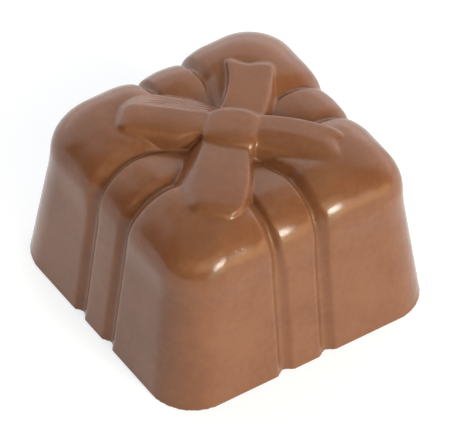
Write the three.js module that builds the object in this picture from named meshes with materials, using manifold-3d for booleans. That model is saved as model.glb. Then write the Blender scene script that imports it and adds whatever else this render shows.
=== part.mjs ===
// A moulded milk chocolate praline in the form of a small gift parcel: one solid piece.
// A square block with drafted walls and round shoulders carries two raised ribbons, each
// between a pair of grooves. They cross on top under a flat bow with a knot, two loops and
// two tails with notched ends. Millimetres, +Z up, origin at the middle of the flat base.
// The bow lies on the diagonals: its left loop points to (-X, +Y), its front loop to (-X, -Y).
import * as THREE from "three";
import Module from "manifold-3d";

// The block
const baseWidth = 28;
const baseDepth = 27.75;
const wallHeight = 13.2; // up to where the shoulder starts to turn in
const wallDraft = 6.8; // degrees
const shoulderRadius = 4.6;
const baseCorner = 4.9; // radius of the upright edges at the base
const topCorner = 2.85; // and where the shoulder meets the top
const dishDepth = 1.3; // the top sinks towards the knot, as a tied parcel does
const dishPower = 1.15;

// The ribbons and the four pillows that they part. Sizes in twos are low on the wall and on top.
const ribbonHalf = 2.2; // from the middle of a ribbon to the bottom of its groove
const ribbonCrown = 0.06; // how much higher a ribbon is along its middle
const pinchStart = 6.8; // nearer to the middle than this, the grooves run together
const mostOfRibbon = 0.8; // share of half a ribbon that a groove's side may take where it is narrow
const mostOfRoom = 0.9; // share of the way to the corner that a pillow's round may take
const grooveDepth = [0.42, 0.72];
const grooveSide = [0.8, 0.95]; // width of one side of a groove
const groovePower = 2.4; // how full the round from a groove's bottom to its edge is
const pillowSide = [1.4, 2.9]; // width of the round along a pillow's edge
const pillowRise = 0.27; // how far a pillow stands over the ribbons on top
const pillowPower = 2;
const swellStart = 10.5; // height at which the pillows start to swell
const swellEnd = 15.8;
// Sideways shift of the ribbons to +X, +Y, -X and -Y, seen from the middle and positive to the left
const ribbonShift = [-0.25, -0.2, 0, 0];
const widestShift = Math.max(...ribbonShift.map(Math.abs));
// The top is hollow along the ribbon to +X, from near the knot out over the shoulder
const hollow = { side: 0, depth: 0.8, innerEdge: [2, 5], outerEdge: [8, 11.5], halfWidth: 5.5 };

// The bow
const bowCentre = new THREE.Vector2(0.42, -0.42);
const buriedTo = 14; // the bow's pieces reach down to here inside the block
const cutPower = 4; // how near to its end a tail's cut stays

// Sizes in threes are those at the piece's start, halfway and at its end. A piece runs
// along s from the bow's centre, with w to its left. edge is where the top face ends, run
// and drop are how far the flank below goes out and down, and full is 1 for a flank that
// bulges and 0 for one that slants.
const bowPieces = {
  leftLoop: {
    turn: 135,
    start: 0,
    end: 10.4,
    top: [18.25, 18.35, 18.3],
    left: { edge: [1.4, 1.7, 2.1], run: [0.4, 1.0, 0.8], drop: [1.6, 1.7, 1.7], full: 0.8 },
    right: { edge: [1.6, 1.25, 0.95], run: [1.4, 2.7, 2.5], drop: [1.4, 1.6, 1.4], full: 0.1 },
    roundEnd: { run: 1.3, narrow: 0.4, lean: 0, drop: 0.8 },
  },
  frontLoop: {
    turn: 225,
    start: 0,
    end: 10.8,
    top: [17.85, 18.2, 18.2],
    left: { edge: [0.9, 2.3, 2.4], run: [0.5, 0.5, 0.6], drop: [1.5, 1.6, 1.5], full: 0.3 },
    right: { edge: [1.8, 2.0, 2.3], run: [1.0, 1.9, 2.2], drop: [1.3, 1.7, 1.4], full: 0.1 },
    roundEnd: { run: 3.2, narrow: 0.6, lean: -0.5, drop: 1.7 },
  },
  rightTail: {
    turn: -45,
    start: 0,
    end: 10.05,
    top: [18.25, 18.3, 17.8],
    left: { edge: [1.8, 2.35, 1.5], run: [0.3, 0.35, 0.4], drop: [1.5, 1.5, 1.4], full: 0.5 },
    right: { edge: [0.9, -0.2, 0.4], run: [1.1, 2.2, 2.9], drop: [1.5, 1.6, 1.3], full: 0.8 },
    cutEnd: { slant: 0.12, notchAt: 0.6, depth: 0.5, leftSide: 0.7, rightSide: 1.4 },
  },
  backTail: {
    turn: 45,
    start: 0,
    end: 8.95,
    top: [18.0, 18.05, 18.05],
    left: { edge: [1.9, 1.1, 2.2], run: [0.4, 0.5, 0.4], drop: [1.5, 1.5, 1.3], full: 0.3 },
    right: { edge: [2.1, 2.35, 1.8], run: [0.3, 0.35, 0.3], drop: [1.5, 1.5, 1.3], full: 0.3 },
    cutEnd: { slant: -0.1, notchAt: 0.4, depth: 0.35, leftSide: 1.8, rightSide: 1.6 },
  },
  knot: {
    turn: 135,
    start: -2.35,
    end: 2.5,
    top: [18.45, 18.75, 18.45],
    left: { edge: [0.9, 1.1, 0.9], run: [1.2, 1.4, 1.2], drop: [1.5, 1.7, 1.5], full: 1 },
    right: { edge: [1.35, 1.7, 1.1], run: [1.2, 1.4, 1.2], drop: [1.5, 1.7, 1.5], full: 1 },
  },
};

// How finely the surfaces are divided
const wallRings = [0, 3, 6, 9, 10.6, 12];
const shoulderSteps = 10;
const topSteps = 10;
const cornerSteps = 8;
const grooveShares = [0.15, 0.35, 0.62, 1]; // of a groove's side, from its bottom
const pillowShares = [0.3, 0.62, 1]; // of a pillow's round, from the groove's edge
const pieceSteps = 16;
const flankSteps = 5;
const faceSteps = 4;

const chocolate = new THREE.MeshStandardMaterial({ color: 0x8a5a42, roughness: 0.42, metalness: 0 });

const radians = THREE.MathUtils.degToRad;
const blend = THREE.MathUtils.lerp;

// The value at share t of a smooth line through the start, the middle and the end value.
function through([first, middle, last], t) {
  return first * (1 - t) * (1 - 2 * t) + middle * 4 * t * (1 - t) + last * t * (2 * t - 1);
}

// A rise from 0 to 1 that is steep first and then flat.
function rounded(share, power) {
  return 1 - (1 - THREE.MathUtils.clamp(share, 0, 1)) ** power;
}

// One level of the block: its inset from the base outline, its height, and its normal's tilt.
function blockLevels() {
  const draft = radians(wallDraft);
  const levels = wallRings.map((z) => ({ inset: z * Math.tan(draft), z, tilt: z ? draft : 0 }));
  const centreInset = wallHeight * Math.tan(draft) + shoulderRadius * Math.cos(draft);
  const centreZ = wallHeight - shoulderRadius * Math.sin(draft);
  for (let i = 0; i <= shoulderSteps; i += 1) {
    const tilt = blend(draft, Math.PI / 2, i / shoulderSteps);
    const inset = centreInset - shoulderRadius * Math.cos(tilt);
    levels.push({ inset, z: centreZ + shoulderRadius * Math.sin(tilt), tilt });
  }
  const rim = levels.at(-1);
  for (const level of levels) {
    level.halfX = baseWidth / 2 - level.inset;
    level.halfY = baseDepth / 2 - level.inset;
    level.corner = blend(baseCorner, topCorner, level.inset / rim.inset);
  }
  for (let i = 1; i <= topSteps; i += 1) {
    const size = 1 - i / (topSteps + 1);
    const z = rim.z - dishDepth * (1 - size) ** dishPower;
    const [halfX, halfY, corner] = [rim.halfX, rim.halfY, rim.corner].map((v) => v * size);
    levels.push({ halfX, halfY, corner, z, tilt: Math.PI / 2 });
  }
  return levels;
}

// Relief sizes at one level: where the groove lies, how wide its sides are, how high a pillow is.
function reliefAt(level) {
  const half = Math.min(level.halfX, level.halfY);
  const swell = THREE.MathUtils.smoothstep(level.z, swellStart, swellEnd);
  const pinch = Math.min(1, half / pinchStart);
  const groove = ribbonHalf * pinch;
  const room = half - level.corner - groove - widestShift * pinch;
  const side = blend(...grooveSide, swell) * Math.sqrt(pinch);
  return {
    groove,
    side: Math.min(side, groove * mostOfRibbon),
    pillow: Math.min(blend(...pillowSide, swell), room * mostOfRoom),
    depth: blend(...grooveDepth, swell) * pinch,
    rise: pillowRise * swell,
  };
}

// How far the surface stands out of the plain block at a distance from a ribbon's middle.
function relief({ groove, side, pillow, depth, rise }, across) {
  const off = across - groove;
  const cut = depth * (1 - rounded(Math.abs(off) / side, groovePower));
  if (off < 0) return -cut - ribbonCrown * (across / groove) ** 2;
  return -cut - ribbonCrown + (rise + ribbonCrown) * rounded(off / pillow, pillowPower);
}

// Where a side is divided, from one corner's start to the other's: close together at the grooves.
function sideStations(level, half, shift) {
  const { groove, side, pillow } = reliefAt(level);
  const near = grooveShares.map((share) => share * side);
  const far = pillowShares.map((share) => blend(side, pillow, share));
  const ribbonEdge = groove - side;
  const inner = near.map((v) => groove - v).reverse();
  const outer = [...near, ...far].map((v) => groove + v);
  const steps = [ribbonEdge / 2, ...inner, groove, ...outer];
  const straight = half - level.corner;
  const before = steps.map((v) => shift - v).reverse();
  return [-straight, ...before, shift, ...steps.map((v) => shift + v), straight];
}

// How deep the hollow is at a distance from the middle of the praline and of the ribbon.
function hollowAt(side, reach, across) {
  if (side !== hollow.side) return 0;
  const inside = THREE.MathUtils.smoothstep(reach, ...hollow.innerEdge);
  const outside = 1 - THREE.MathUtils.smoothstep(reach, ...hollow.outerEdge);
  return hollow.depth * inside * outside * (1 - THREE.MathUtils.smoothstep(across, 0, hollow.halfWidth));
}

// The points of one level, anticlockwise seen from above.
function levelLoop(level) {
  const sizes = reliefAt(level);
  const { corner, tilt } = level;
  const loop = [];
  const put = (x, y, normalAngle, across, sunk) => {
    const out = relief(sizes, across) - sunk;
    const flat = out * Math.cos(tilt);
    const up = level.z + out * Math.sin(tilt);
    loop.push([x + flat * Math.cos(normalAngle), y + flat * Math.sin(normalAngle), up]);
  };
  for (let side = 0; side < 4; side += 1) {
    const angle = (side * Math.PI) / 2;
    const [reach, half] = side % 2 ? [level.halfY, level.halfX] : [level.halfX, level.halfY];
    const shift = ribbonShift[side] * Math.min(1, half / pinchStart);
    const [cos, sin] = [Math.cos(angle), Math.sin(angle)];
    for (const v of sideStations(level, half, shift)) {
      const across = Math.abs(v - shift);
      put(cos * reach - sin * v, sin * reach + cos * v, angle, across, hollowAt(side, reach, across));
    }
    const turnX = cos * (reach - corner) - sin * (half - corner);
    const turnY = sin * (reach - corner) + cos * (half - corner);
    for (let i = 1; i < cornerSteps; i += 1) {
      const turn = angle + ((Math.PI / 2) * i) / cornerSteps;
      put(turnX + corner * Math.cos(turn), turnY + corner * Math.sin(turn), turn, half, 0);
    }
  }
  return loop;
}

// A closed solid from loops of equal length stacked from the bottom to the top.
function stackedLoops(loops) {
  const count = loops[0].length;
  const positions = loops.flat();
  const indices = [];
  const last = (loops.length - 1) * count;
  for (let ring = 0; ring < last; ring += count) {
    for (let i = 0; i < count; i += 1) {
      const [a, b] = [ring + i, ring + ((i + 1) % count)];
      indices.push(a, b, b + count, a, b + count, a + count);
    }
  }
  const middle = (loop) => [0, 0, loop.reduce((sum, p) => sum + p[2], 0) / count];
  const bottom = positions.push(middle(loops[0])) - 1;
  const top = positions.push(middle(loops.at(-1))) - 1;
  for (let i = 0; i < count; i += 1) {
    const next = (i + 1) % count;
    indices.push(bottom, next, i, top, last + i, last + next);
  }
  return { positions, indices };
}

// A closed solid under a patch of rows of points: straight down to a flat underside.
function patchSolid(rows, underside) {
  const across = rows[0].length;
  const patch = rows.flat();
  const size = patch.length;
  const positions = [...patch, ...patch.map(([x, y]) => [x, y, underside])];
  const indices = [];
  for (let row = 0; row + 1 < rows.length; row += 1) {
    for (let i = 0; i + 1 < across; i += 1) {
      const a = row * across + i;
      const [b, c, d] = [a + across, a + across + 1, a + 1];
      indices.push(a, b, c, a, c, d);
      indices.push(a + size, c + size, b + size, a + size, d + size, c + size);
    }
  }
  const wall = (a, b) => indices.push(a, b, b + size, a, b + size, a + size);
  for (let i = 0; i + 1 < across; i += 1) {
    wall(i, i + 1);
    wall(size - 1 - i, size - 2 - i);
  }
  for (let row = 0; row + 1 < rows.length; row += 1) {
    wall((row + 1) * across, row * across);
    wall((row + 1) * across - 1, (row + 2) * across - 1);
  }
  return { positions, indices };
}

// Points down one flank, from the top face's edge outwards, as pairs of w and z.
function flank({ edge, run, drop, full }, share, top) {
  const points = [];
  for (let i = 0; i <= flankSteps; i += 1) {
    const t = i / flankSteps;
    const out = blend(t, Math.sin((t * Math.PI) / 2), full);
    const down = blend(t, 1 - Math.cos((t * Math.PI) / 2), full);
    points.push([through(edge, share) + through(run, share) * out, top - through(drop, share) * down]);
  }
  return points;
}

// Cross section of a bow piece at a share of its length, from its right foot to its left one.
function pieceSection(piece, share) {
  const top = through(piece.top, share);
  const left = flank(piece.left, share, top);
  const right = flank(piece.right, share, top).map(([w, z]) => [-w, z]);
  const face = [];
  for (let i = 1; i < faceSteps; i += 1) face.push([blend(right[0][0], left[0][0], i / faceSteps), top]);
  return [...right.reverse(), ...face, ...left];
}

// Rows of points over a bow piece, in the praline's own axes.
function pieceRows(piece) {
  const turn = radians(piece.turn);
  const rows = [];
  for (let i = 0; i <= pieceSteps; i += 1) {
    const share = Math.sin((i / pieceSteps) * (Math.PI / 2)); // closer together near the end
    const s = blend(piece.start, piece.end, share);
    let section = pieceSection(piece, share).map(([w, z]) => [s, w, z]);
    if (piece.roundEnd) section = section.map((point) => roundedOff(piece, point));
    if (piece.cutEnd) section = section.map((point) => cutBack(piece, point));
    rows.push(
      section.map(([along, w, z]) => [
        bowCentre.x + along * Math.cos(turn) - w * Math.sin(turn),
        bowCentre.y + along * Math.sin(turn) + w * Math.cos(turn),
        z,
      ]),
    );
  }
  return rows;
}

// A loop's end sinks along a quarter of an ellipse, and narrows along a fuller curve.
function roundedOff({ end, roundEnd }, [s, w, z]) {
  const share = Math.max(0, (s - end + roundEnd.run) / roundEnd.run);
  const height = Math.sqrt(Math.max(0, 1 - share ** 2));
  const width = Math.cbrt(Math.max(0, 1 - share ** 3));
  const inwards = w * blend(1 - roundEnd.narrow, 1, width) + roundEnd.lean * (1 - width);
  return [s, inwards, z - roundEnd.drop * (1 - height)];
}

// A tail's end is cut on a slant, with a notch that parts its two prongs.
function cutBack({ start, end, cutEnd }, [s, w, z]) {
  const share = (s - start) / (end - start);
  const off = w - cutEnd.notchAt;
  const side = off > 0 ? cutEnd.leftSide : cutEnd.rightSide;
  const cut = cutEnd.depth * Math.max(0, 1 - Math.abs(off) / side) - cutEnd.slant * off;
  return [s - cut * share ** cutPower, w, z];
}

const wasm = await Module();
wasm.setup();

function solidOf({ positions, indices }) {
  const vertProperties = new Float32Array(positions.flat());
  const triVerts = new Uint32Array(indices);
  return new wasm.Manifold(new wasm.Mesh({ numProp: 3, vertProperties, triVerts }));
}

function geometryOf(solid) {
  const { vertProperties, triVerts, numProp } = solid.getMesh();
  const geometry = new THREE.BufferGeometry();
  geometry.setAttribute("position", new THREE.BufferAttribute(new Float32Array(vertProperties), numProp));
  geometry.setIndex(new THREE.BufferAttribute(new Uint32Array(triVerts), 1));
  geometry.computeVertexNormals();
  return geometry;
}

function pralineSolid() {
  let solid = solidOf(stackedLoops(blockLevels().map(levelLoop)));
  for (const piece of Object.values(bowPieces)) {
    solid = solid.add(solidOf(patchSolid(pieceRows(piece), buriedTo)));
  }
  return solid;
}

const praline = new THREE.Mesh(geometryOf(pralineSolid()), chocolate);
praline.name = "praline";

const parcel = new THREE.Group();
parcel.add(praline);

export default parcel;
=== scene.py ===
import math
from functools import partial

import bpy
import numpy as np
from mathutils import Matrix, Vector


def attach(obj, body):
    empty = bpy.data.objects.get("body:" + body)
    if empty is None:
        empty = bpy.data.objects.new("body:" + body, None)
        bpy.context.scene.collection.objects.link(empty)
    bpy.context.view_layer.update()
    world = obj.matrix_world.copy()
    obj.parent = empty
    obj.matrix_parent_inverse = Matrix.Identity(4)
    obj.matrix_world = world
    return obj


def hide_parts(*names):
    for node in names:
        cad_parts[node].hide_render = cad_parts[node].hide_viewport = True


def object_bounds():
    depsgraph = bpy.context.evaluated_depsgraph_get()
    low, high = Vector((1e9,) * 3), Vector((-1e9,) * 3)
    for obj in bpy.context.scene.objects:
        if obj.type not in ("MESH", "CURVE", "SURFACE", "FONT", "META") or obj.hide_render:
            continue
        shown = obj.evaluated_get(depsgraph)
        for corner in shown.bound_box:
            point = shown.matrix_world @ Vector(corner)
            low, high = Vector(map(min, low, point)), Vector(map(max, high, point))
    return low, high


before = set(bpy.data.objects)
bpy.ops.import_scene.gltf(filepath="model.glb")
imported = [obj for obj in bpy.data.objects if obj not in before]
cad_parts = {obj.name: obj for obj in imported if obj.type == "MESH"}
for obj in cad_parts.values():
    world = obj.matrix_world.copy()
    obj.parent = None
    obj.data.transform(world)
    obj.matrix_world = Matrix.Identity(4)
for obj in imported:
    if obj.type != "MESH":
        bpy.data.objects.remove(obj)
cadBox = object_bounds()
scene = bpy.context.scene
toMetres = 0.001

camera = {
    "azimuth": -34.43,  # degrees, 0 looks along +Y
    "elevation": 46.02,
    "roll": 1.07,
    "aim": (0.0, 0.0, 8.4),  # mm
    "distance": 933.0,
    "aside": 0.06,  # the camera moves by this much to the right in the picture
    "down": 1.55,  # and by this much down
    "lens": 835.2,
    "sensor": 36.0,
    "clip": (0.05, 20.0),  # metres
}


def addCamera(sizes):
    turn, tilt, roll = (math.radians(sizes[k]) for k in ("azimuth", "elevation", "roll"))
    flatRight = Vector((math.cos(turn), math.sin(turn), 0))
    back = Vector((math.sin(turn) * math.cos(tilt), -math.cos(turn) * math.cos(tilt), math.sin(tilt)))
    flatUp = back.cross(flatRight)
    right = flatRight * math.cos(roll) + flatUp * math.sin(roll)
    up = back.cross(right)
    place = Vector(sizes["aim"]) + back * sizes["distance"] + right * sizes["aside"] - up * sizes["down"]
    data = bpy.data.cameras.new("photoCamera")
    data.lens = sizes["lens"]
    data.sensor_width = sizes["sensor"]
    data.clip_start, data.clip_end = sizes["clip"]
    holder = bpy.data.objects.new("photoCamera", data)
    turned = Matrix((right, up, back)).transposed().to_4x4()
    holder.matrix_world = Matrix.Translation(place * toMetres) @ turned
    scene.collection.objects.link(holder)
    scene.camera = holder


addCamera(camera)
print("camera set")


def meshObject(name, points, faces):
    mesh = bpy.data.meshes.new(name)
    mesh.from_pydata(points.tolist(), [], faces)
    mesh.update()
    made = bpy.data.objects.new(name, mesh)
    scene.collection.objects.link(made)
    return made


# the piece as its modifiers leave it, with the modifiers gone
def settled(piece):
    graph = bpy.context.evaluated_depsgraph_get()
    mesh = bpy.data.meshes.new_from_object(piece.evaluated_get(graph))
    piece.modifiers.clear()
    old = piece.data
    piece.data = mesh
    bpy.data.meshes.remove(old)
    return piece


def joinTo(tree, value, socket):
    if isinstance(value, bpy.types.NodeSocket):
        tree.links.new(value, socket)
    else:
        socket.default_value = value


def calc(tree, operation, *values):
    node = tree.nodes.new("ShaderNodeMath")
    node.operation = operation
    for value, socket in zip(values, node.inputs):
        joinTo(tree, value, socket)
    return node.outputs[0]


# one function for each kind of maths node, so that a tree can be written like a sum
def maths(tree, *operations):
    return [partial(calc, tree, operation) for operation in operations]


def ranged(tree, value, low, high, toLow=0.0, toHigh=1.0, kind="SMOOTHSTEP"):
    node = tree.nodes.new("ShaderNodeMapRange")
    node.interpolation_type = kind
    for given, socket in zip((value, low, high, toLow, toHigh), node.inputs):
        joinTo(tree, given, socket)
    return node.outputs[0]


def noise(tree, place, scale, detail, seed):
    node = tree.nodes.new("ShaderNodeTexNoise")
    node.noise_dimensions = "4D"
    node.inputs["Detail"].default_value = detail
    tree.links.new(place, node.inputs["Vector"])
    joinTo(tree, scale, node.inputs["Scale"])
    joinTo(tree, seed, node.inputs["W"])
    return node.outputs[0]


def splitUp(tree, vector):
    node = tree.nodes.new("ShaderNodeSeparateXYZ")
    tree.links.new(vector, node.inputs[0])
    return node.outputs


def newGeometryTree(name, inputs):
    tree = bpy.data.node_groups.new(name, "GeometryNodeTree")
    tree.interface.new_socket("Geometry", in_out="INPUT", socket_type="NodeSocketGeometry")
    tree.interface.new_socket("Material", in_out="INPUT", socket_type="NodeSocketMaterial")
    for label, value in inputs.items():
        kind = "NodeSocketInt" if isinstance(value, int) else "NodeSocketFloat"
        socket = tree.interface.new_socket(label, in_out="INPUT", socket_type=kind)
        socket.default_value = value
    tree.interface.new_socket("Geometry", in_out="OUTPUT", socket_type="NodeSocketGeometry")
    return tree, tree.nodes.new("NodeGroupInput").outputs


# the tree's last nodes: every point moves by the amount in the direction, and the material goes on
def closeGeometryTree(tree, given, direction, amount):
    offset = tree.nodes.new("ShaderNodeVectorMath")
    offset.operation = "SCALE"
    tree.links.new(direction, offset.inputs[0])
    tree.links.new(amount, offset.inputs["Scale"])
    move = tree.nodes.new("GeometryNodeSetPosition")
    tree.links.new(given["Geometry"], move.inputs["Geometry"])
    tree.links.new(offset.outputs[0], move.inputs["Offset"])
    real = tree.nodes.new("GeometryNodeRealizeInstances")
    tree.links.new(move.outputs[0], real.inputs[0])
    paint = tree.nodes.new("GeometryNodeSetMaterial")
    tree.links.new(real.outputs[0], paint.inputs["Geometry"])
    tree.links.new(given["Material"], paint.inputs["Material"])
    tree.links.new(paint.outputs[0], tree.nodes.new("NodeGroupOutput").inputs[0])


def runTree(piece, tree, inputs):
    modifier = piece.modifiers.new(tree.name, "NODES")
    modifier.node_group = tree
    for item in tree.interface.items_tree:
        if item.in_out == "INPUT" and item.name in inputs:
            modifier[item.identifier] = inputs[item.name]
    return settled(piece)


chocolate = {
    "dark": (0.161, 0.0655, 0.0325),  # two browns that mix in patches with a finer mottle in them
    "light": (0.196, 0.0850, 0.044),
    "mixFrom": (0.35, 0.65),
    "patches": {"size": 5.0, "detail": 4, "seed": 1.7},  # sizes in mm
    "mottle": {"size": 5 / 8, "detail": 3, "seed": 5.1},
    "mottleShare": 0.35,
    "gloss": {"size": 5 / 3, "detail": 5, "seed": 9.4},
    "glossFrom": (0.3, 0.7),
    "roughness": (0.16, 0.23),
    "skin": {"size": 0.22, "detail": 3, "seed": 3.3},
    "skinDepth": 0.006,
    "pinHoleSpacing": 0.88,
    "pinHoleReach": 0.2,  # as a share of the spacing
    "pinHoleDepth": 0.008,
    "subsurface": 0.18,
    "reach": (1.0, 0.42, 0.2),
    "reachScale": 0.9,  # mm
    "ior": 1.40,
}


def makeChocolate(sizes):
    material = bpy.data.materials.new("milkChocolate")
    material.use_nodes = True
    tree = material.node_tree
    add, times = maths(tree, "ADD", "MULTIPLY")
    shader = tree.nodes["Principled BSDF"]
    place = tree.nodes.new("ShaderNodeTexCoord").outputs["Object"]

    def cloud(kind):
        look = sizes[kind]
        return noise(tree, place, 1 / (look["size"] * toMetres), look["detail"], look["seed"])

    share = add(
        times(cloud("patches"), 1 - sizes["mottleShare"]),
        times(cloud("mottle"), sizes["mottleShare"]),
    )
    colour = tree.nodes.new("ShaderNodeMix")
    colour.data_type = "RGBA"
    colour.inputs["A"].default_value = (*sizes["dark"], 1)
    colour.inputs["B"].default_value = (*sizes["light"], 1)
    tree.links.new(ranged(tree, share, *sizes["mixFrom"]), colour.inputs["Factor"])
    tree.links.new(colour.outputs["Result"], shader.inputs["Base Color"])

    roughness = ranged(tree, cloud("gloss"), *sizes["glossFrom"], *sizes["roughness"])
    tree.links.new(roughness, shader.inputs["Roughness"])

    # a fine skin with scattered pin holes
    cells = tree.nodes.new("ShaderNodeTexVoronoi")
    cells.inputs["Scale"].default_value = 1 / (sizes["pinHoleSpacing"] * toMetres)
    tree.links.new(place, cells.inputs["Vector"])
    hole = ranged(tree, cells.outputs["Distance"], 0.0, sizes["pinHoleReach"], -1.0, 0.0)
    height = add(
        times(cloud("skin"), sizes["skinDepth"] * toMetres),
        times(hole, sizes["pinHoleDepth"] * toMetres),
    )
    bump = tree.nodes.new("ShaderNodeBump")
    bump.inputs["Distance"].default_value = 1.0
    tree.links.new(height, bump.inputs["Height"])
    tree.links.new(bump.outputs["Normal"], shader.inputs["Normal"])

    shader.inputs["Subsurface Weight"].default_value = sizes["subsurface"]
    shader.inputs["Subsurface Radius"].default_value = sizes["reach"]
    shader.inputs["Subsurface Scale"].default_value = sizes["reachScale"] * toMetres
    shader.inputs["IOR"].default_value = sizes["ior"]
    return material


milkChocolate = makeChocolate(chocolate)
print("chocolate mixed")

# The plain block is a stack of rings: up the walls, round the shoulder and in over the top.
block = {
    "width": 28.0,
    "depth": 27.75,
    "wallHeight": 13.2,  # up to where the shoulder starts to turn in
    "draft": 6.8,  # degrees
    "shoulder": 4.6,  # radius
    "baseCorner": (4.7, 5.0, 4.5, 4.3),  # radius of the upright edges at the base, back one first
    "topCorner": (2.85, 2.85, 2.85, 2.5),  # and where the shoulder meets the top
    "dish": 1.3,  # the top sinks towards the knot
    "dishPower": 1.15,
    "wallSteps": 56,
    "shoulderSteps": 44,
    "topSteps": 52,
    "lastRing": 0.01,  # size of the innermost ring, as a share of the rim
    "sideSteps": 130,
    "cornerSteps": 26,
}


# how far the rim, where the shoulder ends, lies inside the base
def rimInset(sizes):
    draft = math.radians(sizes["draft"])
    return sizes["wallHeight"] * math.tan(draft) + sizes["shoulder"] * math.cos(draft)


# for each ring: how far in from the base, how high, which way it looks and its share of the rim
def blockLevels(sizes):
    draft = math.radians(sizes["draft"])
    radius = sizes["shoulder"]
    rim = rimInset(sizes)
    levels = []
    for z in np.linspace(0, sizes["wallHeight"], sizes["wallSteps"])[:-1]:
        levels.append((z * math.tan(draft), z, draft if z else 0.0, 1.0))
    centreZ = sizes["wallHeight"] - radius * math.sin(draft)
    for tilt in np.linspace(draft, math.pi / 2, sizes["shoulderSteps"]):
        levels.append((rim - radius * math.cos(tilt), centreZ + radius * math.sin(tilt), tilt, 1.0))
    rimZ = levels[-1][1]
    for size in np.linspace(1, sizes["lastRing"], sizes["topSteps"])[1:]:
        z = rimZ - sizes["dish"] * (1 - size) ** sizes["dishPower"]
        levels.append((rim, z, math.pi / 2, size))
    return levels


def plainBlock(sizes):
    rim = rimInset(sizes)
    points, outwards = [], []
    for inset, z, tilt, size in blockLevels(sizes):
        halfX = (sizes["width"] / 2 - inset) * size
        halfY = (sizes["depth"] / 2 - inset) * size
        corners = [
            (base + (top - base) * inset / rim) * size
            for base, top in zip(sizes["baseCorner"], sizes["topCorner"])
        ]
        for side in range(4):
            turn = side * math.pi / 2
            reach, half = (halfY, halfX) if side % 2 else (halfX, halfY)
            cos, sin = math.cos(turn), math.sin(turn)
            corner = corners[side]
            along = np.linspace(corners[side - 1] - half, half - corner, sizes["sideSteps"])
            arc = turn + np.linspace(0, math.pi / 2, sizes["cornerSteps"] + 2)[1:-1]
            middle = (reach - corner, half - corner)
            x = np.concatenate((
                cos * reach - sin * along,
                cos * middle[0] - sin * middle[1] + corner * np.cos(arc),
            ))
            y = np.concatenate((
                sin * reach + cos * along,
                sin * middle[0] + cos * middle[1] + corner * np.sin(arc),
            ))
            angle = np.concatenate((np.full(len(along), turn), arc))
            points.append(np.stack((x, y, np.full(len(x), z)), 1))
            outwards.append(np.stack((
                np.cos(angle) * math.cos(tilt),
                np.sin(angle) * math.cos(tilt),
                np.full(len(x), math.sin(tilt)),
            ), 1))
    points = np.concatenate(points)
    outwards = np.concatenate(outwards)
    ring = 4 * (sizes["sideSteps"] + sizes["cornerSteps"])
    count = len(points)
    faces = []
    for start in range(0, count - ring, ring):
        for i in range(ring):
            j = (i + 1) % ring
            faces.append((start + i, start + j, start + ring + j, start + ring + i))
    faces.append(tuple(range(ring - 1, -1, -1)))
    faces.append(tuple(range(count - ring, count)))
    made = meshObject("parcelBlock", points, faces)
    # the tree below presses the ribbons along this direction
    attribute = made.data.attributes.new("outward", "FLOAT_VECTOR", "POINT")
    attribute.data.foreach_set("vector", outwards.ravel())
    return made


# Ribbons, grooves and pillows are pressed into the block. Low is on the walls and Top over the
# shoulder and on top. The far sides are those to +X and +Y.
ribbons = {
    "Swell Start": 10.5,  # mm, the heights between which Low turns into Top
    "Swell End": 15.8,
    "Ribbon Half": 2.25,  # from the middle of a ribbon to the bottom of its groove
    "Ribbon Crown Low": 0.07,
    "Ribbon Crown Top": 0.17,
    "Far Crown": 0.15,  # more on the far sides
    "Pinch Start": 6.8,  # nearer to the middle than this the grooves run together
    "Shift East": -0.25,  # of the ribbon to +X, along Y
    "Shift North": 0.2,  # of the ribbon to +Y, along X
    "Shift South": -0.2,
    "Groove Depth Low": 0.42,
    "Groove Depth Top": 0.68,
    "Groove Side Low": 0.88,
    "Groove Side Top": 0.95,
    "Groove Side Most": 0.8,  # of the ribbon's half width
    "Ribbon Side Share": 0.55,  # how much of its side a groove takes on the ribbon, on top
    "Groove Curve Low": 2.0,  # 2 is a round groove and 1 a sharp crease
    "Groove Curve Top": 1.1,
    "Groove Roundness": 1.5,
    "Gentle Side": 0.6,  # on top, where a groove's side looks to -Y, it is wider by this share
    "Gentle Depth": 0.35,  # and its groove shallower by this share
    "Far Share Inside": 0.25,  # of the groove's depth on the far sides, near the bow
    "Far Share Outside": 1.2,  # and over the shoulder
    "Far Share Start": 5.5,  # how far out the one turns into the other
    "Far Share End": 12.0,
    "Pillow Side Low": 1.4,  # how far from its groove a pillow reaches its height
    "Pillow Side Top": 2.9,
    "Pillow Side Least": 0.05,
    "Pillow Rise": 0.33,
    "Room Taken": 0.25,  # beside the groove, before the rounded corner
    "Room Share": 0.9,  # of what is left to the corner for the pillow's side
    "Hollow Depth": 0.35,  # along the ribbon to +X
    "Hollow Start": 2.0,  # it deepens out to the next of these and ends between the last two
    "Hollow Full From": 5.0,
    "Hollow Full To": 8.0,
    "Hollow End": 11.5,
    "Hollow Half": 5.5,  # how far to the side it reaches
    "Rim Reach": block["width"] / 2 - rimInset(block),
    "Base Reach": block["width"] / 2,
    "Rim Corner": block["topCorner"][0],
    "Base Corner": block["baseCorner"][0],
}


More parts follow.
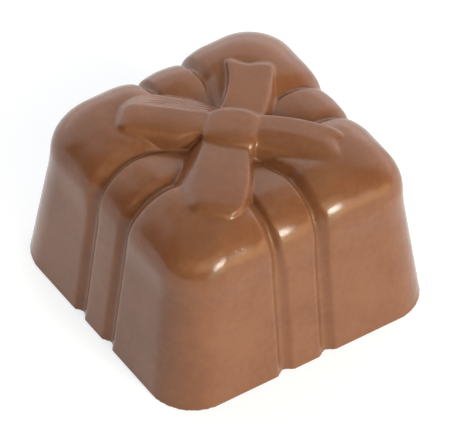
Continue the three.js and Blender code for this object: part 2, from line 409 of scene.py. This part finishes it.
def pressedRibbons(inputs):
    tree, given = newGeometryTree("pressedRibbons", inputs)
    add, take, times, over = maths(tree, "ADD", "SUBTRACT", "MULTIPLY", "DIVIDE")
    least, most, power, root = maths(tree, "MINIMUM", "MAXIMUM", "POWER", "SQRT")
    above, below, size = maths(tree, "GREATER_THAN", "LESS_THAN", "ABSOLUTE")

    # which ribbon a point belongs to, how far out it is and how far to the ribbon's side
    x, y, z = splitUp(tree, tree.nodes.new("GeometryNodeInputPosition").outputs[0])
    onX = above(size(x), size(y))
    onY = take(1.0, onX)
    east = times(onX, above(x, 0.0))
    north = times(onY, above(y, 0.0))
    south = take(onY, north)
    reach = most(size(x), size(y))
    crossways = add(times(y, onX), times(x, onY))
    swell = ranged(tree, z, given["Swell Start"], given["Swell End"])
    far = times(add(east, north), swell)
    pinch = least(1.0, over(reach, given["Pinch Start"]))
    shift = add(times(east, given["Shift East"]), times(north, given["Shift North"]))
    shift = add(shift, times(south, given["Shift South"]))
    across = size(take(crossways, times(shift, pinch)))

    def lowToTop(label):
        return ranged(tree, swell, 0.0, 1.0, given[label + " Low"], given[label + " Top"], "LINEAR")

    # the groove
    groove = times(given["Ribbon Half"], pinch)
    off = take(across, groove)
    side = times(lowToTop("Groove Side"), root(pinch))
    side = least(side, times(groove, given["Groove Side Most"]))
    gentle = times(onX, swell)
    lookingSouth = above(times(crossways, off), 0.0)
    narrower = times(times(below(off, 0.0), take(1.0, given["Ribbon Side Share"])), swell)
    wider = times(times(gentle, given["Gentle Side"]), lookingSouth)
    side = times(side, take(1.0, take(narrower, wider)))
    farShare = ranged(
        tree,
        reach,
        given["Far Share Start"],
        given["Far Share End"],
        given["Far Share Inside"],
        given["Far Share Outside"],
    )
    shallow = times(far, take(1.0, farShare))
    depth = times(times(lowToTop("Groove Depth"), pinch), take(1.0, shallow))
    depth = times(depth, take(1.0, times(gentle, given["Gentle Depth"])))
    farness = least(1.0, over(size(off), side))
    bowl = take(1.0, power(farness, lowToTop("Groove Curve")))
    cut = times(depth, power(bowl, given["Groove Roundness"]))

    # the ribbon's hollow crown and the pillow beside it, which has to end before the corner
    high = add(lowToTop("Ribbon Crown"), times(far, given["Far Crown"]))
    high = times(high, pinch)
    crown = times(high, power(least(1.0, over(across, groove)), 2.0))
    corner = ranged(
        tree,
        reach,
        given["Rim Reach"],
        given["Base Reach"],
        given["Rim Corner"],
        given["Base Corner"],
        "LINEAR",
    )
    corner = times(corner, least(1.0, over(reach, given["Rim Reach"])))
    taken = add(groove, times(given["Room Taken"], pinch))
    room = times(take(take(reach, corner), taken), given["Room Share"])
    pillow = most(least(lowToTop("Pillow Side"), room), given["Pillow Side Least"])
    flat = take(1.0, least(1.0, over(most(off, 0.0), pillow)))
    dome = take(1.0, power(flat, 2.0))
    rise = add(times(given["Pillow Rise"], swell), high)
    out = take(take(times(rise, dome), crown), cut)

    # the hollow along the ribbon to +X
    inner = ranged(tree, reach, given["Hollow Start"], given["Hollow Full From"])
    outer = ranged(tree, reach, given["Hollow Full To"], given["Hollow End"], 1.0, 0.0)
    near = ranged(tree, across, 0.0, given["Hollow Half"], 1.0, 0.0)
    hollow = times(times(times(inner, outer), near), times(east, given["Hollow Depth"]))
    out = take(out, hollow)

    outward = tree.nodes.new("GeometryNodeInputNamedAttribute")
    outward.data_type = "FLOAT_VECTOR"
    outward.inputs["Name"].default_value = "outward"
    closeGeometryTree(tree, given, outward.outputs["Attribute"], out)
    return tree


parcel = plainBlock(block)
parcel = runTree(parcel, pressedRibbons(ribbons), {**ribbons, "Material": milkChocolate})
print("block pressed:", len(parcel.data.vertices), "points")

# A piece of the bow runs along s from the centre, with w to its left. Sizes in threes are those at its
# start, halfway and at its end. The top face falls by sag from its crest to edge, and there the flank
# goes run out and drop down, bulging where full is 1 and straight where it is 0.
bow = {
    "centre": (0.42, -0.42),  # mm
    "buriedTo": 11.5,  # how low the pieces reach into the block
    "skirtOut": 0.1,  # below its flank a section goes out by this much
    "skirtDown": (0.8, 2.0),  # and down by these
    "pinchedRun": 0.1,
    "crestBand": 0.5,  # the crest is looked for within this much below the top
    "softBlend": 0.5,  # how far to each side of the crest one softness turns into the other
    "tipPower": 2.5,  # 2 would make a tip round and more makes it squarer
    "cutPower": 4,
    "lengthSteps": 90,
    "sectionSteps": 64,
    "curveSteps": 40,
}
# soft is how widely the edge is worn round, and pinch is where the flank grows to its full run; at the
# round end a piece sinks over run and narrows over taper, or over run too where there is none
leftLoop = {
    "turn": 135,  # degrees from +X
    "ends": (0, 10.4),
    "top": (18.2, 18.42, 18.3),
    "left": {"edge": (1.1, 1.35, 1.7), "run": (1.0, 1.15, 0.8), "drop": (1.7, 1.95, 1.7), "full": 0.5,
             "sag": 0.1, "soft": 0.16, "pinch": (2.9, 4.8)},
    "right": {"edge": (1.6, 1.2, 0.95), "run": (1.4, 2.6, 2.4), "drop": (1.1, 1.2, 1.05), "full": 0.05,
              "sag": 0.06, "soft": 0.1},
    "roundEnd": {"run": 1.6, "narrow": 0.4, "lean": -0.15, "drop": 0.8},
}
frontLoop = {
    "turn": 225,
    "ends": (0, 11.1),
    "top": (17.85, 18.3, 18.15),
    "left": {"edge": (1.1, 2.7, 2.6), "run": (0.2, 0.25, 0.3), "drop": (1.5, 1.6, 1.5), "full": 0.5,
             "sag": 0.2, "soft": 0.14},
    "right": {"edge": (2.3, 1.9, 1.3), "run": (0.9, 2.0, 2.6), "drop": (1.4, 1.6, 1.4), "full": 0.15,
              "sag": 0.1, "soft": 0.3},
    "roundEnd": {"run": 1.7, "taper": 3.6, "narrow": 0.7, "lean": -0.5, "drop": 2.5},
}
rightTail = {
    "turn": -45,
    "ends": (0, 10.2),
    "top": (18.25, 18.35, 17.85),
    "left": {"edge": (1.8, 2.5, 2.0), "run": (0.3, 0.35, 0.35), "drop": (1.5, 1.5, 1.4), "full": 0.6,
             "sag": 0.12, "soft": 0.22},
    "right": {"edge": (1.0, -0.2, 0.9), "run": (0.9, 2.0, 1.8), "drop": (1.5, 1.75, 1.0), "full": 0.85,
              "sag": 0.06, "soft": 0.3},
    "roundEnd": {"run": 1.8, "narrow": 0.3, "lean": -0.35, "drop": 0.6},
    "cutEnd": {"slant": 0.03, "notchAt": 0.9, "depth": 0.6, "leftSide": 1.0, "rightSide": 1.6},
}
backTail = {
    "turn": 45,
    "ends": (0, 9.15),
    "top": (18.0, 18.1, 18.05),
    "left": {"edge": (2.5, 1.35, 2.4), "run": (0.4, 0.4, 0.4), "drop": (1.5, 1.5, 1.3), "full": 0.4,
             "sag": -0.08, "soft": 0.14},
    "right": {"edge": (1.9, 2.3, 1.9), "run": (0.7, 0.5, 0.35), "drop": (1.5, 1.5, 1.3), "full": 0.4,
              "sag": 0.08, "soft": 0.16},
    "roundEnd": {"run": 1.0, "narrow": 0.2, "lean": 0, "drop": 0.6},
    "cutEnd": {"slant": -0.1, "notchAt": 0.4, "depth": 0.35, "leftSide": 1.8, "rightSide": 1.6},
}
knot = {
    "turn": 135,
    "ends": (-2.35, 2.5),
    "top": (18.45, 18.8, 18.45),
    "left": {"edge": (0.9, 1.1, 0.9), "run": (1.2, 1.4, 1.2), "drop": (1.5, 1.8, 1.5), "full": 1,
             "sag": 0.05, "soft": 0.2},
    "right": {"edge": (1.35, 1.7, 1.1), "run": (1.0, 1.1, 1.0), "drop": (1.5, 1.8, 1.5), "full": 1,
              "sag": 0.05, "soft": 0.15},
    "roundEnd": {"run": 0.5, "narrow": 0.1, "lean": 0, "drop": 0.25},
}


# the curve through three sizes
def through(three, t):
    first, middle, last = three
    return first * (1 - t) * (1 - 2 * t) + middle * 4 * t * (1 - t) + last * t * (2 * t - 1)


def sectionSide(side, share, s, top):
    edge, run, drop = (through(side[key], share) for key in ("edge", "run", "drop"))
    if "pinch" in side:
        start, end = side["pinch"]
        near = np.clip((s - start) / (end - start), 0, 1)
        run = bow["pinchedRun"] + (run - bow["pinchedRun"]) * near * (2 - near)
    t = np.linspace(0, 1, bow["curveSteps"])
    full, sag = side["full"], side["sag"]
    out = (1 - full) * t + full * np.sin(t * math.pi / 2)
    down = (1 - full) * t + full * (1 - np.cos(t * math.pi / 2))
    foot = edge + run
    w = np.concatenate((edge * t, edge + run * out[1:], (foot, foot + bow["skirtOut"])))
    skirt = [top - drop - lower for lower in bow["skirtDown"]]
    z = np.concatenate((top - sag * t**2, top - sag - (drop - sag) * down[1:], skirt))
    return w, z


# the same line with its points evenly spaced, and how far along it each of them lies
def evenly(points, steps):
    walked = np.concatenate(((0,), np.cumsum(np.linalg.norm(np.diff(points, axis=0), axis=1))))
    at = np.linspace(0, walked[-1], steps)
    return np.stack([np.interp(at, walked, column) for column in points.T], 1), at


def pieceSection(piece, share, s):
    top = through(piece["top"], share)
    left, right = piece["left"], piece["right"]
    leftW, leftZ = sectionSide(left, share, s, top)
    rightW, rightZ = sectionSide(right, share, s, top)
    w = np.concatenate((-rightW[:0:-1], leftW))
    z = np.concatenate((rightZ[:0:-1], leftZ))
    outline, at = evenly(np.stack((w, z), 1), 4 * bow["sectionSteps"])
    # the corners are worn round, each side by its own softness
    tooLow = outline[:, 1] < top - bow["crestBand"]
    crest = at[np.argmin(np.where(tooLow, np.inf, np.abs(outline[:, 0])))]
    blend = (crest - bow["softBlend"], crest + bow["softBlend"])
    soft = np.interp(at, blend, (right["soft"], left["soft"]))
    weight = np.exp(-(((at[:, None] - at) / soft[:, None]) ** 2) / 2)
    outline = weight @ outline / weight.sum(1, keepdims=True)
    outline, at = evenly(outline, bow["sectionSteps"])
    return outline[:, 0], outline[:, 1]


# the section at s, smaller and lower where it is near the last of the two ends
def roundedOff(s, w, z, ends, sizes):
    left = abs(ends[1] - ends[0]) - abs(s - ends[0])
    height = math.sqrt(max(0.0, 1 - max(0.0, 1 - left / sizes["run"]) ** 2))
    close = max(0.0, 1 - left / sizes.get("taper", sizes["run"]))
    width = max(0.0, 1 - close ** bow["tipPower"]) ** 0.5
    w = w * (1 - sizes["narrow"] * (1 - width)) + sizes["lean"] * (1 - width)
    return w, z - sizes["drop"] * (1 - height)


# a tail's notched end, cut back most at the notch
def cutBack(s, w, start, end, sizes):
    off = w - sizes["notchAt"]
    side = np.where(off > 0, sizes["leftSide"], sizes["rightSide"])
    near = np.maximum(0, 1 - np.abs(off) / side)
    cut = sizes["depth"] * near * near * (3 - 2 * near) - sizes["slant"] * off
    return s - cut * ((s - start) / (end - start)) ** bow["cutPower"]


def bowPiece(name, piece):
    start, end = piece["ends"]
    turn = math.radians(piece["turn"])
    rows = []
    for step in range(bow["lengthSteps"] + 1):
        share = (1 - math.cos(step / bow["lengthSteps"] * math.pi)) / 2  # closer together at the ends
        s = start + (end - start) * share
        w, z = pieceSection(piece, share, s)
        w, z = roundedOff(s, w, z, (start, end), piece["roundEnd"])
        if start < 0:
            w, z = roundedOff(s, w, z, (end, start), piece["roundEnd"])
        along = np.full(len(w), s)
        if "cutEnd" in piece:
            along = cutBack(s, w, start, end, piece["cutEnd"])
        x = bow["centre"][0] + along * math.cos(turn) - w * math.sin(turn)
        y = bow["centre"][1] + along * math.sin(turn) + w * math.cos(turn)
        rows.append(np.stack((x, y, z), 1))
    patch = np.array(rows)
    top = patch.reshape(-1, 3)
    under = top * (1, 1, 0) + (0, 0, bow["buriedTo"])
    size = len(top)
    grid = np.arange(size).reshape(-1, patch.shape[1])
    a, b = grid[:-1, :-1].ravel(), grid[1:, :-1].ravel()
    d, c = grid[:-1, 1:].ravel(), grid[1:, 1:].ravel()
    faces = list(zip(a, b, c, d)) + list(zip(a + size, d + size, c + size, b + size))
    border = np.concatenate((grid[0], grid[1:, -1], grid[-1, -2::-1], grid[-2:0:-1, 0]))
    for one, other in zip(border, np.roll(border, -1)):
        faces.append((one, other, other + size, one + size))
    faces = [tuple(int(v) for v in face) for face in faces]
    return meshObject(name, np.concatenate((top, under)), faces)


bowPieces = [
    bowPiece("leftLoop", leftLoop),
    bowPiece("frontLoop", frontLoop),
    bowPiece("rightTail", rightTail),
    bowPiece("backTail", backTail),
    bowPiece("bowKnot", knot),
]
print("bow laid:", len(bowPieces), "pieces")

casting = {
    "voxel": 0.12,  # mm
    "softening": 8,  # rounds of smoothing
    "softeningStep": 0.5,
    "triangles": 190000,
}


# block and bow become one casting, with every inner corner a little filled
def fuse(main, others, sizes):
    for other in others:
        cut = main.modifiers.new(other.name, "BOOLEAN")
        cut.operation = "UNION"
        cut.solver = "MANIFOLD"
        cut.object = other
    settled(main)
    for other in others:
        bpy.data.objects.remove(other)
    melt = main.modifiers.new("melt", "REMESH")
    melt.mode = "VOXEL"
    melt.voxel_size = sizes["voxel"]
    soften = main.modifiers.new("soften", "SMOOTH")
    soften.factor = sizes["softeningStep"]
    soften.iterations = sizes["softening"]
    return settled(main)


parcel = fuse(parcel, bowPieces, casting)
print("fused:", len(parcel.data.vertices), "points")

skin = {
    "Waviness": 0.05,  # mm, how far the skin dips in broad patches
    "Patch Size": 5.0,
    "Grain": 0.012,
    "Grain Size": 0.7,
    "Scratch Depth": 0.09,  # of the fine lines along the left loop's back slope
    "Scratch Spacing": 0.42,
    "Scratch Wander": 0.9,
    "Wander Size": 3.0,
    "Break Size": 1.6,  # how long the lines are before they fade
    "Flat Below": 0.1,  # the base stays flat, and the skin is full above the second height
    "Full Above": 0.5,
    "Seed": 4,
}
# where the fine lines are, in the bow's s and w and in z: they come in between the first two and go
# out between the last two
scratched = {
    "s": (2.2, 3.4, 7.5, 9.0),
    "w": (1.2, 1.5, 3.0, 3.4),
    "z": (16.6, 16.9),
}


def castSkin(inputs, area):
    tree, given = newGeometryTree("castSkin", inputs)
    add, take, times, over, sine = maths(tree, "ADD", "SUBTRACT", "MULTIPLY", "DIVIDE", "SINE")
    position = tree.nodes.new("GeometryNodeInputPosition").outputs[0]
    x, y, z = splitUp(tree, position)

    def cloud(label, detail, seed):
        return noise(tree, position, over(1.0, given[label]), detail, add(seed, given["Seed"]))

    def between(value, comeIn, full, fullTo, goOut):
        return times(ranged(tree, value, comeIn, full), ranged(tree, value, fullTo, goOut, 1.0, 0.0))

    broad = times(cloud("Patch Size", 1.0, 0.3), given["Waviness"])
    fine = times(cloud("Grain Size", 2.0, 7.7), given["Grain"])

    # the fine lines, in the left loop's own directions
    fromX = take(x, bow["centre"][0])
    fromY = take(y, bow["centre"][1])
    s = times(take(fromY, fromX), math.sqrt(0.5))
    w = times(add(fromX, fromY), math.sqrt(0.5))
    inside = times(between(s, *area["s"]), between(w, *area["w"]))
    inside = times(inside, ranged(tree, z, *area["z"]))
    wander = times(cloud("Wander Size", 1.0, 2.2), given["Scratch Wander"])
    line = sine(over(times(add(w, wander), 2 * math.pi), given["Scratch Spacing"]))
    line = times(add(times(line, 0.5), 0.5), cloud("Break Size", 1.0, 6.1))
    scratch = times(times(line, inside), given["Scratch Depth"])

    depth = times(add(add(broad, fine), scratch), -1.0)
    depth = times(depth, ranged(tree, z, given["Flat Below"], given["Full Above"]))
    closeGeometryTree(tree, given, tree.nodes.new("GeometryNodeInputNormal").outputs[0], depth)
    return tree


parcel = runTree(parcel, castSkin(skin, scratched), {**skin, "Material": milkChocolate})


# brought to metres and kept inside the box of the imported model
def finishCasting(piece, sizes):
    count = sum(len(face.vertices) - 2 for face in piece.data.polygons)
    thinOut = piece.modifiers.new("thinOut", "DECIMATE")
    thinOut.ratio = min(1.0, sizes["triangles"] / count)
    settled(piece)
    mesh = piece.data
    points = np.empty(len(mesh.vertices) * 3)
    mesh.vertices.foreach_get("co", points)
    low, high = (np.array(corner) / toMetres for corner in cadBox)
    points = np.clip(points.reshape(-1, 3), low, high) * toMetres
    mesh.vertices.foreach_set("co", points.ravel())
    mesh.materials.clear()
    mesh.materials.append(milkChocolate)
    mesh.shade_smooth()
    mesh.update()
    piece.name = mesh.name = "giftParcelPraline"
    return piece


praline = finishCasting(parcel, casting)
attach(praline, "root")
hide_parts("praline")
print("casting finished:", len(praline.data.polygons), "faces")

studio = {
    "floorSize": 3.0,  # metres
    "floorGrey": 0.5,
    "floorRoughness": 0.9,
    "floorGlow": (0.57, 0.63, 0.69),
}
# soft boxes all around, at their bearing and rise in degrees, with half of their width and height and
# how far they fade out at the border
softBoxes = {
    "backWall": {
        "bearing": 65, "rise": 12, "width": 70, "height": 42, "fade": 14,
        "glow": (1.92, 1.7, 1.57),
    },
    "backLow": {
        "bearing": 45, "rise": 3, "width": 62, "height": 14, "fade": 9,
        "glow": (0.41, 0.27, 0.38),
    },
    "window": {
        "bearing": 280, "rise": 22, "width": 10.5, "height": 5.2, "fade": 1.2,
        "glow": (36, 36, 32),
    },
    "frontWall": {
        "bearing": 272, "rise": 4, "width": 15, "height": 10, "fade": 8,
        "glow": (1.9, 3.1, 1.9),
    },
    "frontWarm": {
        "bearing": 308, "rise": 4, "width": 26, "height": 12, "fade": 7,
        "glow": (4.3, 2.9, 1.46),
    },
    "frontHigh": {
        "bearing": 262, "rise": 36, "width": 30, "height": 12, "fade": 7,
        "glow": (3.2, 2.3, 1.4),
    },
    "leftHigh": {
        "bearing": 215, "rise": 34, "width": 25, "height": 14, "fade": 7,
        "glow": (1.2, 0.72, 0.35),
    },
    "overhead": {
        "bearing": 0, "rise": 90, "width": 180, "height": 30, "fade": 12,
        "glow": (0.47, 0.56, 0.45),
    },
}


def addFloor(sizes):
    half = sizes["floorSize"] / 2
    corners = np.array(((-half, -half, 0), (half, -half, 0), (half, half, 0), (-half, half, 0)))
    floor = meshObject("paleFloor", corners, [(0, 1, 2, 3)])
    grey = sizes["floorGrey"]
    material = bpy.data.materials.new("paleFloor")
    material.use_nodes = True
    shader = material.node_tree.nodes["Principled BSDF"]
    shader.inputs["Base Color"].default_value = (grey, grey, grey, 1)
    shader.inputs["Roughness"].default_value = sizes["floorRoughness"]
    shader.inputs["Emission Color"].default_value = (*sizes["floorGlow"], 1)
    shader.inputs["Emission Strength"].default_value = 1.0
    floor.data.materials.append(material)


# 1 inside a soft box and 0 outside of it
def boxMask(tree, rise, bearing, box):
    take, times, size, wrap = maths(tree, "SUBTRACT", "MULTIPLY", "ABSOLUTE", "WRAP")
    fade = math.radians(box["fade"])

    def band(angle, middle, half):
        off = size(wrap(take(angle, math.radians(middle)), math.pi, -math.pi))
        half = math.radians(half)
        return ranged(tree, off, half - fade, half + fade, 1.0, 0.0)

    across = band(bearing, box["bearing"], box["width"])
    return times(across, band(rise, box["rise"], box["height"]))


def addSurroundings(boxes):
    world = bpy.data.worlds.new("studio")
    world.use_nodes = True
    tree = world.node_tree
    x, y, z = splitUp(tree, tree.nodes.new("ShaderNodeTexCoord").outputs["Generated"])
    rise, bearing = calc(tree, "ARCSINE", z), calc(tree, "ARCTAN2", y, x)
    total = (0.0, 0.0, 0.0)
    for box in boxes.values():
        glow = tree.nodes.new("ShaderNodeVectorMath")
        glow.operation = "MULTIPLY_ADD"
        glow.inputs[0].default_value = box["glow"]
        tree.links.new(boxMask(tree, rise, bearing, box), glow.inputs[1])
        joinTo(tree, total, glow.inputs[2])
        total = glow.outputs[0]
    tree.links.new(total, tree.nodes["Background"].inputs["Color"])
    scene.world = world


addFloor(studio)
addSurroundings(softBoxes)
scene.view_settings.view_transform = "Standard"
scene.view_settings.look = "None"
print("studio lit")
